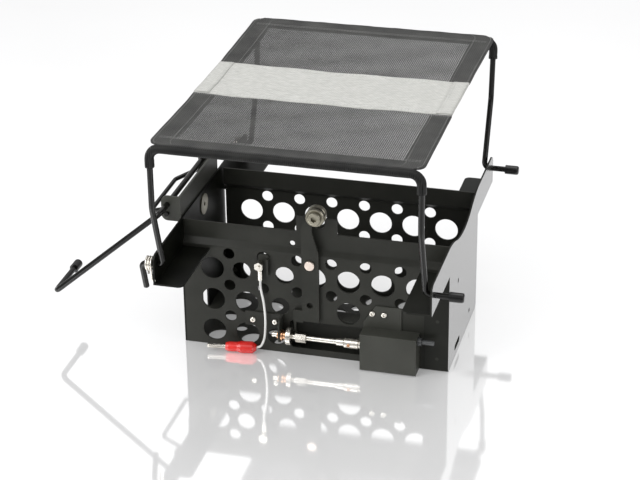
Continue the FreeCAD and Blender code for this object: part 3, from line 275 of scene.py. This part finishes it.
def meshObject(name, points, faces, material):
    mesh = bpy.data.meshes.new(name)
    mesh.from_pydata([tuple(p) for p in points], [], faces)
    mesh.update()
    obj = bpy.data.objects.new(name, mesh)
    bpy.context.collection.objects.link(obj)
    mesh.materials.append(material)
    for polygon in mesh.polygons:
        polygon.use_smooth = True
    return obj


hoopFront = Vector((0, -185.2214, 281.0845))
hoopBack = Vector((0, 201.3733, 277.3598))
slingAlong = (hoopBack - hoopFront).normalized()
slingUp = Vector((1, 0, 0)).cross(slingAlong)
slingLength = (hoopBack - hoopFront).length
halfSling = 142.0
sleeve = {"radius": 4.975, "wall": 1.2, "around": 24, "legX": 140.2, "corner": 12.0, "reach": 9.0}
drape = {"sag": 3.0, "waist": 0.012, "corner": 13.0}
strapWidth = 94.0
strapGap = 0.1  # half the gap between the band's edge and a mesh panel's edge
strapLow = (slingLength - strapWidth) / 2
strapHigh = (slingLength + strapWidth) / 2


def slingPoint(x, s, lift):
    share = s / slingLength
    corner = drape["corner"]
    fromBar = min(max(s, 0.0), max(slingLength - s, 0.0), corner)
    rounding = corner - math.sqrt(corner ** 2 - (corner - fromBar) ** 2)
    edgePull = 1.0 - drape["waist"] * math.sin(math.pi * share) - rounding / halfSling
    sag = drape["sag"] * math.sin(math.pi * share) * (0.6 + 0.4 * math.cos(math.pi * x / halfSling / 2))
    ripple = 0.35 * math.sin(x * 0.09 + s * 0.05) + 0.25 * math.sin(x * 0.05 - s * 0.11)
    level = sleeve["radius"] - sag + ripple * math.sin(math.pi * share) + lift
    place = hoopFront + slingAlong * s + slingUp * level
    return (Vector((x * edgePull, 0, 0)) + place) * mm


def clothStrip(name, x0, x1, s0, s1, columns, rows, lift, thickness, material):
    points = []
    for layer in (0.0, -thickness):
        for j in range(rows + 1):
            for i in range(columns + 1):
                x = x0 + (x1 - x0) * i / columns
                s = s0 + (s1 - s0) * j / rows
                points.append(slingPoint(x, s, lift + layer))
    count = (columns + 1) * (rows + 1)
    faces = []
    for j in range(rows):
        for i in range(columns):
            a = j * (columns + 1) + i
            quad = (a, a + 1, a + columns + 2, a + columns + 1)
            faces.append(quad)
            faces.append(tuple(count + k for k in reversed(quad)))
    rim = list(range(columns + 1))
    rim += [(j + 1) * (columns + 1) - 1 for j in range(1, rows + 1)]
    rim += [rows * (columns + 1) + i for i in range(columns - 1, -1, -1)]
    rim += [j * (columns + 1) for j in range(rows - 1, 0, -1)]
    for a, b in zip(rim, rim[1:] + rim[:1]):
        faces.append((b, a, count + a, count + b))
    return meshObject(name, points, faces, material)


def sleeveLine(bar, down):
    legX, corner, reach = sleeve["legX"], sleeve["corner"], sleeve["reach"]
    line = []
    for edge in (-1, 1):
        half = [bar + Vector((edge * legX, 0, 0)) + down * (corner + reach * (1 - i / 4)) for i in range(4)]
        center = bar + Vector((edge * (legX - corner), 0, 0)) + down * corner
        for i in range(9):
            angle = math.pi / 2 * i / 8
            half.append(center + Vector((edge * corner * math.cos(angle), 0, 0)) - down * (corner * math.sin(angle)))
        line = half if edge < 0 else line + [line[-1].lerp(half[-1], k / 40) for k in range(1, 40)] + half[::-1]
    return line


def sleeveTube(name, bar, down, material):
    around = sleeve["around"]
    line = sleeveLine(bar, down)
    plane = Vector((1, 0, 0)).cross(down).normalized()
    points = []
    for k, place in enumerate(line):
        tangent = (line[min(k + 1, len(line) - 1)] - line[max(k - 1, 0)]).normalized()
        outward = tangent.cross(plane).normalized()
        crumple = 0.2 * math.sin(k * 0.9) + 0.12 * math.sin(k * 2.3)
        for radius in (sleeve["radius"], sleeve["radius"] - sleeve["wall"]):
            for i in range(around):
                angle = 2 * math.pi * i / around
                reach = radius + crumple * 0.5 * (1 + math.sin(angle))
                points.append((place + (outward * math.cos(angle) + plane * math.sin(angle)) * reach) * mm)
    faces = []
    step = 2 * around
    for k in range(len(line) - 1):
        for layer in (0, 1):
            for i in range(around):
                a = k * step + layer * around + i
                b = k * step + layer * around + (i + 1) % around
                faces.append((a, b, b + step, a + step))
    for k in (0, len(line) - 1):
        for i in range(around):
            a = k * step + i
            b = k * step + (i + 1) % around
            faces.append((a, a + around, b + around, b))
    obj = meshObject(name, points, faces, material)
    mesh = bmesh.new()
    mesh.from_mesh(obj.data)
    bmesh.ops.recalc_face_normals(mesh, faces=mesh.faces)
    mesh.to_mesh(obj.data)
    mesh.free()
    return obj


def stitchGroup():
    group = bpy.data.node_groups.new("stitchRun", "GeometryNodeTree")
    sockets = {}
    kinds = (("Count", "NodeSocketInt"), ("Length", "NodeSocketFloat"), ("Radius", "NodeSocketFloat"),
             ("Thread", "NodeSocketMaterial"))
    group.interface.new_socket(name="Geometry", in_out="INPUT", socket_type="NodeSocketGeometry")
    for label, kind in kinds:
        item = group.interface.new_socket(name=label, in_out="INPUT", socket_type=kind)
        sockets[label] = item.identifier
    group.interface.new_socket(name="Geometry", in_out="OUTPUT", socket_type="NodeSocketGeometry")
    make = group.nodes.new
    link = group.links.new
    start = make("NodeGroupInput")
    end = make("NodeGroupOutput")
    toCurve = make("GeometryNodeMeshToCurve")
    resample = make("GeometryNodeResampleCurve")
    tangent = make("GeometryNodeInputTangent")
    align = make("FunctionNodeAlignEulerToVector")
    align.axis = "Z"
    capsule = make("GeometryNodeMeshCylinder")
    capsule.inputs["Vertices"].default_value = 6
    instance = make("GeometryNodeInstanceOnPoints")
    realize = make("GeometryNodeRealizeInstances")
    dress = make("GeometryNodeSetMaterial")
    link(start.outputs["Geometry"], toCurve.inputs["Mesh"])
    link(toCurve.outputs["Curve"], resample.inputs["Curve"])
    link(start.outputs["Count"], resample.inputs["Count"])
    link(start.outputs["Length"], capsule.inputs["Depth"])
    link(start.outputs["Radius"], capsule.inputs["Radius"])
    link(resample.outputs["Curve"], instance.inputs["Points"])
    link(capsule.outputs["Mesh"], instance.inputs["Instance"])
    link(tangent.outputs["Tangent"], align.inputs["Vector"])
    link(align.outputs["Rotation"], instance.inputs["Rotation"])
    link(instance.outputs["Instances"], realize.inputs["Geometry"])
    link(realize.outputs["Geometry"], dress.inputs["Geometry"])
    link(start.outputs["Thread"], dress.inputs["Material"])
    link(dress.outputs["Geometry"], end.inputs["Geometry"])
    return group, sockets


stitchTree, stitchInputs = stitchGroup()


def stitchRow(name, path, thread):
    stitchShare = 0.68
    edges = [(i, i + 1) for i in range(len(path) - 1)]
    mesh = bpy.data.meshes.new(name)
    mesh.from_pydata([tuple(p) for p in path], edges, [])
    obj = bpy.data.objects.new(name, mesh)
    bpy.context.collection.objects.link(obj)
    length = sum((b - a).length for a, b in zip(path, path[1:]))
    modifier = obj.modifiers.new("stitches", "NODES")
    modifier.node_group = stitchTree
    modifier[stitchInputs["Count"]] = int(length / thread["pitch"])
    modifier[stitchInputs["Length"]] = thread["pitch"] * stitchShare
    modifier[stitchInputs["Radius"]] = thread["radius"]
    modifier[stitchInputs["Thread"]] = thread["look"]
    graph = bpy.context.evaluated_depsgraph_get()
    made = bpy.data.meshes.new_from_object(obj.evaluated_get(graph))
    obj.modifiers.remove(modifier)
    obj.data = made
    return obj


def joinPieces(name, parts):
    bpy.ops.object.select_all(action="DESELECT")
    for part in parts:
        part.select_set(True)
    bpy.context.view_layer.objects.active = parts[0]
    bpy.ops.object.join()
    parts[0].name = name
    return parts[0]


def acrossPath(s, x0, x1, lift, count=40):
    return [slingPoint(x0 + (x1 - x0) * i / count, s, lift) for i in range(count + 1)]


def alongPath(x, s0, s1, lift, count=30):
    return [slingPoint(x, s0 + (s1 - s0) * i / count, lift) for i in range(count + 1)]


backLean = math.radians(6.5)
slingSides = {
    "front": {"bar": hoopFront, "down": Vector((0, 0, -1)), "start": 0.0, "end": strapLow - 2 * strapGap,
              "body": "front_sling", "hoop": "front_hoop", "node": "front_sling_mesh"},
    "back": {"bar": hoopBack, "down": Vector((0, -math.sin(backLean), -math.cos(backLean))), "start": slingLength,
             "end": strapHigh + 2 * strapGap, "body": "back_sling", "hoop": "back_hoop", "node": "back_sling_mesh"},
}
cloth = {"columns": 96, "rows": 40, "lift": 0.0, "thickness": 0.9}
sideHem = {"width": 24.0, "columns": 8, "rows": 40, "lift": -1.2, "thickness": 0.6}
endHem = {"near": 2, "far": 24, "inset": 6, "columns": 80, "rows": 5, "lift": -2.0, "thickness": 0.6}
meshThread = {"pitch": 0.0034, "radius": 0.00032, "look": threadLook}
meshSeams = {"fold": (18.5, 21.5), "foldHalf": 134, "fromEdge": 3.0, "atBar": 4, "atBand": 1, "lift": 0.15}
for label, side in slingSides.items():
    toward = 1 if side["end"] > side["start"] else -1
    first = side["start"]
    low, high = sorted((side["start"], side["end"]))
    panel = clothStrip(label + "SlingCloth", -halfSling, halfSling, low, high, cloth["columns"], cloth["rows"],
                       cloth["lift"], cloth["thickness"], looks["sling_mesh"])
    hems = []
    for edge in (-1, 1):
        xs = sorted((edge * halfSling, edge * (halfSling - sideHem["width"])))
        hems.append(clothStrip(label + "SideHem%d" % edge, xs[0], xs[1], low, high, sideHem["columns"],
                               sideHem["rows"], sideHem["lift"], sideHem["thickness"], hemMesh))
    fold = sorted((first + toward * endHem["near"], first + toward * endHem["far"]))
    hems.append(clothStrip(label + "EndHem", -halfSling + endHem["inset"], halfSling - endHem["inset"], fold[0],
                           fold[1], endHem["columns"], endHem["rows"], endHem["lift"], endHem["thickness"], hemMesh))
    hem = joinPieces(label + "SlingHem", hems)
    tube = sleeveTube(label + "SlingSleeve", side["bar"], side["down"], sleeveMesh)
    rows = []
    for offset in meshSeams["fold"]:
        path = acrossPath(first + toward * offset, -meshSeams["foldHalf"], meshSeams["foldHalf"], meshSeams["lift"])
        rows.append(stitchRow(label + "FoldStitch", path, meshThread))
    for edge in (-1, 1):
        for inset in (sideHem["width"] - meshSeams["fromEdge"], meshSeams["fromEdge"]):
            path = alongPath(edge * (halfSling - inset), low + meshSeams["atBar"], high - meshSeams["atBand"],
                             meshSeams["lift"])
            rows.append(stitchRow(label + "HemStitch", path, meshThread))
    stitches = joinPieces(label + "SlingStitches", rows)
    for piece in (panel, hem, stitches):
        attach(piece, side["body"])
    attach(tube, side["hoop"])
    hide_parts(side["node"])
print("stage: sling mesh")

band = {"columns": 96, "rows": 30, "lift": 0.7, "thickness": 1.4}
bandFold = {"outer": 0.5, "inner": 17.0, "ends": 0.6, "columns": 6, "rows": 24, "lift": 1.5, "thickness": 0.8}
foldSeam = {"inset": 14.0, "ends": 2, "lift": 1.7, "thread": {"pitch": 0.0036, "radius": 0.00035, "look": paleThread}}
edgeSeam = {"insets": (3.0, 6.0), "ends": 20, "lift": 0.85,
            "thread": {"pitch": 0.0036, "radius": 0.00032, "look": paleThread}}
strap = clothStrip("slingBand", -halfSling, halfSling, strapLow - strapGap, strapHigh + strapGap, band["columns"],
                   band["rows"], band["lift"], band["thickness"], looks["sling_band"])
foldStrips = []
for edge in (-1, 1):
    xs = sorted((edge * (halfSling - bandFold["outer"]), edge * (halfSling - bandFold["inner"])))
    foldStrips.append(clothStrip("bandFold%d" % edge, xs[0], xs[1], strapLow + bandFold["ends"],
                                 strapHigh - bandFold["ends"], bandFold["columns"], bandFold["rows"],
                                 bandFold["lift"], bandFold["thickness"], looks["sling_band"]))
folds = joinPieces("bandFolds", foldStrips)
bandRows = []
for edge in (-1, 1):
    path = alongPath(edge * (halfSling - foldSeam["inset"]), strapLow + foldSeam["ends"], strapHigh - foldSeam["ends"],
                     foldSeam["lift"])
    bandRows.append(stitchRow("bandStitch", path, foldSeam["thread"]))
for start, inward in ((strapLow, 1), (strapHigh, -1)):
    for inset in edgeSeam["insets"]:
        path = acrossPath(start + inward * inset, -halfSling + edgeSeam["ends"], halfSling - edgeSeam["ends"],
                          edgeSeam["lift"])
        bandRows.append(stitchRow("bandSeam", path, edgeSeam["thread"]))
bandStitches = joinPieces("bandStitches", bandRows)
for piece in (strap, folds, bandStitches):
    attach(piece, "sling_centre")
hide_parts("sling_strap")
print("stage: sling band")


def springCopy(node, name):
    mesh = nodes[node].data.copy()
    whole = bmesh.new()
    whole.from_mesh(mesh)
    weldReach = 1e-6
    bmesh.ops.remove_doubles(whole, verts=whole.verts, dist=weldReach)
    whole.to_mesh(mesh)
    whole.free()
    mesh.materials.clear()
    mesh.materials.append(looks["bright_steel"])
    for polygon in mesh.polygons:
        polygon.use_smooth = True
    obj = bpy.data.objects.new(name, mesh)
    bpy.context.collection.objects.link(obj)
    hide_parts(node)
    return obj


springs = {
    "returnCoil": {"node": "return_spring", "from": "push_rod", "to": "frame"},
    "frontTorsionCoil": {"node": "front_torsion_spring", "from": "front_hoop", "to": "frame"},
    "backTorsionCoil": {"node": "back_torsion_spring", "from": "back_hoop", "to": "frame"},
}
for label, spring in springs.items():
    coil = springCopy(spring["node"], label)
    low, high = (Vector(corner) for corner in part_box(spring["node"]))
    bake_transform(coil)
print("stage: springs")

frontPlane = -76.5
cableDiameter = 0.0026
pinStart = Vector((-64.0, frontPlane - 9.0, 6.7))
routePoints = [
    Vector((-58.5, frontPlane - 6.0, 90.0)), Vector((-58.5, frontPlane - 6.0, 80.0)),
    Vector((-55.2, frontPlane - 6.6, 64.0)), Vector((-53.4, frontPlane - 7.6, 48.0)),
    Vector((-53.2, frontPlane - 8.4, 33.0)), Vector((-54.6, frontPlane - 8.9, 18.5)),
    Vector((-58.6, frontPlane - 9.0, 9.2)), pinStart,
]


def smoothRoute(points, steps=14):
    trimShare = 0.45
    line = [points[0]]
    for before, corner, after in zip(points, points[1:], points[2:]):
        into = corner - before
        out = after - corner
        trim = trimShare * min(into.length, out.length)
        start = corner - into.normalized() * trim
        stop = corner + out.normalized() * trim
        turn = into.angle(out)
        radius = trim / math.tan(turn / 2)
        inward = (out.normalized() - into.normalized()).normalized()
        center = corner + inward * (radius / math.cos(turn / 2))
        spoke = start - center
        axis = into.cross(out).normalized()
        for i in range(steps + 1):
            line.append(center + Matrix.Rotation(turn * i / steps, 3, axis) @ spoke)
    line.append(points[-1])
    return line


cableLine = smoothRoute(routePoints)
cableCurve = bpy.data.curves.new("lanyardCord", "CURVE")
cableCurve.dimensions = "3D"
cableCurve.bevel_depth = cableDiameter / 2
cableCurve.bevel_resolution = 4
spline = cableCurve.splines.new("POLY")
spline.points.add(len(cableLine) - 1)
for point, place in zip(spline.points, cableLine):
    point.co = (*(place * mm), 1)
cable = bpy.data.objects.new("lanyardCord", cableCurve)
bpy.context.collection.objects.link(cable)
cableCurve.materials.append(looks["cable"])
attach(cable, "frame")
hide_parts("lanyard_cable")


def paleFloor():
    reach, drop = 30.0, 0.0004
    cloudScale, cloudDetail = 3.0, 2.0
    mirrorShare, glow = 0.6, 0.19
    corners = [(-reach, -reach, 0), (reach, -reach, 0), (reach, reach, 0), (-reach, reach, 0)]
    mesh = bpy.data.meshes.new("paleFloor")
    mesh.from_pydata(corners, [], [(0, 1, 2, 3)])
    floor = bpy.data.objects.new("paleFloor", mesh)
    bpy.context.collection.objects.link(floor)
    mat, tree, shader = newMaterial("floorGloss")
    vector = objectCoords(tree)
    cloud = noiseNode(tree, vector, cloudScale, cloudDetail)
    tree.links.new(rampNode(tree, cloud, (0.90, 0.90, 0.905), (0.93, 0.93, 0.935)), shader.inputs["Base Color"])
    tree.links.new(rangeNode(tree, cloud, 0.05, 0.07), shader.inputs["Roughness"])
    shader.inputs["Metallic"].default_value = mirrorShare
    shader.inputs["Emission Color"].default_value = (1.0, 1.0, 1.0, 1)
    shader.inputs["Emission Strength"].default_value = glow
    mesh.materials.append(mat)
    floor.location.z = -drop


def areaLight(name, place, target, size, power):
    light = bpy.data.lights.new(name, "AREA")
    light.shape = "RECTANGLE"
    light.size = size[0]
    light.size_y = size[1]
    light.energy = power
    obj = bpy.data.objects.new(name, light)
    bpy.context.collection.objects.link(obj)
    obj.location = place
    obj.rotation_euler = (Vector(target) - Vector(place)).to_track_quat("-Z", "Y").to_euler()


paleFloor()
areaLight("keyPanel", place=(-1.2, -1.6, 1.9), target=(0, 0, 0.12), size=(1.4, 1.4), power=30)
areaLight("lowPanel", place=(-0.8, -0.9, 0.42), target=(-0.13, -0.08, 0.09), size=(0.5, 0.4), power=2.6)
areaLight("topPanel", place=(0.3, 0.4, 2.2), target=(0, 0, 0.1), size=(2.0, 2.0), power=26)
areaLight("rightPanel", place=(1.9, -0.6, 0.9), target=(0.1, 0, 0.1), size=(1.2, 1.2), power=9)
sky = {"low": (0.32, 0.32, 0.32), "high": (1.0, 1.0, 1.0), "start": 0.05, "stop": 0.7, "strength": 0.95}
world = bpy.data.worlds.new("studio")
world.use_nodes = True
skyTree = world.node_tree
skyShader = skyTree.nodes["Background"]
skyCoords = skyTree.nodes.new("ShaderNodeTexCoord")
skySplit = skyTree.nodes.new("ShaderNodeSeparateXYZ")
skyTree.links.new(skyCoords.outputs["Generated"], skySplit.inputs[0])
skyLight = rampNode(skyTree, skySplit.outputs["Z"], sky["low"], sky["high"], sky["start"], sky["stop"])
skyTree.links.new(skyLight, skyShader.inputs["Color"])
skyShader.inputs["Strength"].default_value = sky["strength"]
bpy.context.scene.world = world
bpy.context.scene.view_settings.view_transform = "Standard"
bpy.context.scene.view_settings.look = "None"

cameraYaw = math.radians(-15.13)
cameraPitch = math.radians(26.33)
cameraRoll = math.radians(-0.74)
cameraPlace = Vector((0.5095, -1.9336, 1.0945))
focalPixels = 2017.4
photoWidth = 640.0
sensorWidth = 36.0
lookAlong = Vector((math.sin(cameraYaw) * math.cos(cameraPitch), math.cos(cameraYaw) * math.cos(cameraPitch),
                    -math.sin(cameraPitch)))
lookRight = Vector((math.cos(cameraYaw), -math.sin(cameraYaw), 0))
lookUp = lookRight.cross(lookAlong)
rolledRight = lookRight * math.cos(cameraRoll) + lookUp * math.sin(cameraRoll)
rolledUp = lookUp * math.cos(cameraRoll) - lookRight * math.sin(cameraRoll)
cameraData = bpy.data.cameras.new("photoCamera")
cameraData.sensor_fit = "HORIZONTAL"
cameraData.sensor_width = sensorWidth
cameraData.lens = sensorWidth * focalPixels / photoWidth
cameraData.clip_end = 100.0
camera = bpy.data.objects.new("photoCamera", cameraData)
bpy.context.collection.objects.link(camera)
camera.matrix_world = Matrix((
    (rolledRight.x, rolledUp.x, -lookAlong.x, cameraPlace.x),
    (rolledRight.y, rolledUp.y, -lookAlong.y, cameraPlace.y),
    (rolledRight.z, rolledUp.z, -lookAlong.z, cameraPlace.z),
    (0, 0, 0, 1),
))
bpy.context.scene.camera = camera
print("stage: camera and light")
